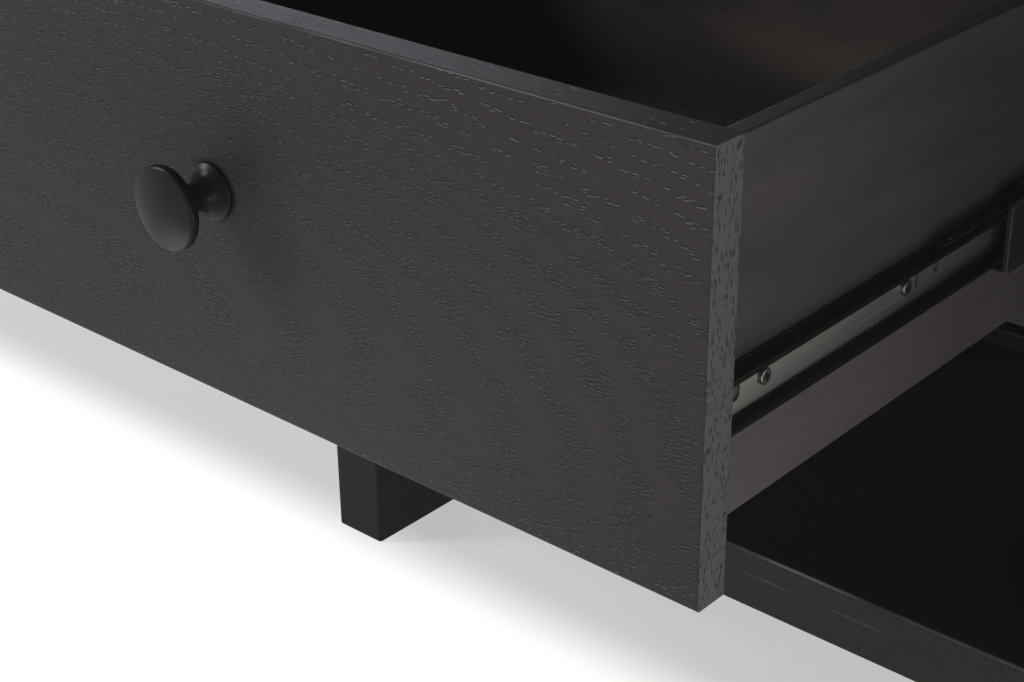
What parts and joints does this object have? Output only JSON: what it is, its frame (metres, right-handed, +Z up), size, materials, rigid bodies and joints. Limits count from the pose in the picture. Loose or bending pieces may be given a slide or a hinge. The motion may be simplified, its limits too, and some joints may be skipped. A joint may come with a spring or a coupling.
{
  "type": "console table",
  "caption": "Low console table in black-stained oak: knobbed drawers on ball-bearing slides over an open divided shelf, on rectangular block feet.",
  "frame": {"origin": "on the floor, under the middle of the carcass (not counting the drawers)", "axes": "+X to the right along the front, -Y out of the front (drawers open along -Y), +Z up"},
  "size_m": [1.041, 0.6965, 0.5185],
  "materials": {
    "stained_oak": "black stain on open-pore oak, satin",
    "drawer_wood": "smooth dark stain, satin",
    "thin_board": "thin dark-stained board",
    "block_wood": "plain dark-stained block",
    "dowel_beech": "plain turned beech",
    "knob_metal": "satin black",
    "slide_steel": "black zinc plate, greased",
    "fastener_steel": "black zinc plate",
    "cam_zinc": "die-cast zinc",
    "ball_steel": "polished balls in a plain strip",
    "rail_end_plastic": "moulded grey",
    "glide_plastic": "moulded black",
    "bumper_rubber": "soft black"
  },
  "bodies": {
    "carcass": {"back_panel": "thin_board", "back_panel_screws": "fastener_steel", "base_front_rail": "stained_oak", "base_rear_rail": "stained_oak", "cam_bolts": "fastener_steel", "cam_locks": "cam_zinc", "carcass_dowels": "dowel_beech", "centre_divider": "stained_oak", "drawer_bumpers": "bumper_rubber", "foot_blocks": "block_wood", "foot_bolts": "fastener_steel", "foot_glides": "glide_plastic", "front_left_foot": "stained_oak", "front_right_foot": "stained_oak", "left_drawer_deck": "stained_oak", "left_drawer_left_outer_rail": "slide_steel", "left_drawer_right_outer_rail": "slide_steel", "left_side_panel": "stained_oak", "lower_shelf": "stained_oak", "outer_rail_screws": "fastener_steel", "rear_left_foot": "stained_oak", "rear_right_foot": "stained_oak", "right_drawer_deck": "stained_oak", "right_drawer_left_outer_rail": "slide_steel", "right_drawer_right_outer_rail": "slide_steel", "right_side_panel": "stained_oak", "shelf_stop_strips": "stained_oak", "top_panel": "stained_oak"},
    "left_drawer": {"left_drawer_bottom": "thin_board", "left_drawer_box_back": "drawer_wood", "left_drawer_box_front": "drawer_wood", "left_drawer_box_left_side": "drawer_wood", "left_drawer_box_right_side": "drawer_wood", "left_drawer_front": "stained_oak", "left_drawer_front_screws": "fastener_steel", "left_drawer_inner_rail_screws": "fastener_steel", "left_drawer_knob": "knob_metal", "left_drawer_left_inner_rail": "slide_steel", "left_drawer_right_inner_rail": "slide_steel"},
    "left_inner_cages": {"left_drawer_inner_ball_cages": "ball_steel"},
    "left_middle_rails": {"left_drawer_left_middle_rail": "slide_steel", "left_drawer_middle_rail_ends": "rail_end_plastic", "left_drawer_right_middle_rail": "slide_steel"},
    "left_outer_cages": {"left_drawer_outer_ball_cages": "ball_steel"},
    "right_drawer": {"right_drawer_bottom": "thin_board", "right_drawer_box_back": "drawer_wood", "right_drawer_box_front": "drawer_wood", "right_drawer_box_left_side": "drawer_wood", "right_drawer_box_right_side": "drawer_wood", "right_drawer_front": "stained_oak", "right_drawer_front_screws": "fastener_steel", "right_drawer_inner_rail_screws": "fastener_steel", "right_drawer_knob": "knob_metal", "right_drawer_left_inner_rail": "slide_steel", "right_drawer_right_inner_rail": "slide_steel"},
    "right_inner_cages": {"right_drawer_inner_ball_cages": "ball_steel"},
    "right_middle_rails": {"right_drawer_left_middle_rail": "slide_steel", "right_drawer_middle_rail_ends": "rail_end_plastic", "right_drawer_right_middle_rail": "slide_steel"},
    "right_outer_cages": {"right_drawer_outer_ball_cages": "ball_steel"}
  },
  "joints": [
    {"name": "left_drawer_slide", "type": "slide", "parent": "carcass", "child": "left_drawer", "axis": [0, -1, 0], "range_m": [-0.273, 0.077]},
    {"name": "left_middle_rails_slide", "type": "slide", "parent": "carcass", "child": "left_middle_rails", "axis": [0, -1, 0], "range_m": [-0.06289, 0.01781]},
    {"name": "left_inner_cages_slide", "type": "slide", "parent": "carcass", "child": "left_inner_cages", "axis": [0, -1, 0], "range_m": [-0.168, 0.04746]},
    {"name": "left_outer_cages_slide", "type": "slide", "parent": "carcass", "child": "left_outer_cages", "axis": [0, -1, 0], "range_m": [-0.0315, 0.00895]},
    {"name": "right_drawer_slide", "type": "slide", "parent": "carcass", "child": "right_drawer", "axis": [0, -1, 0], "range_m": [0, 0.35]},
    {"name": "right_middle_rails_slide", "type": "slide", "parent": "carcass", "child": "right_middle_rails", "axis": [0, -1, 0], "range_m": [0, 0.0806]},
    {"name": "right_inner_cages_slide", "type": "slide", "parent": "carcass", "child": "right_inner_cages", "axis": [0, -1, 0], "range_m": [0, 0.21535]},
    {"name": "right_outer_cages_slide", "type": "slide", "parent": "carcass", "child": "right_outer_cages", "axis": [0, -1, 0], "range_m": [0, 0.04035]}
  ],
  "couplings": [
    {"joint": "left_middle_rails_slide", "follows": "left_drawer_slide", "ratio": 0.23},
    {"joint": "left_inner_cages_slide", "follows": "left_drawer_slide", "ratio": 0.615},
    {"joint": "left_outer_cages_slide", "follows": "left_drawer_slide", "ratio": 0.115},
    {"joint": "right_middle_rails_slide", "follows": "right_drawer_slide", "ratio": 0.23},
    {"joint": "right_inner_cages_slide", "follows": "right_drawer_slide", "ratio": 0.615},
    {"joint": "right_outer_cages_slide", "follows": "right_drawer_slide", "ratio": 0.115}
  ]
}
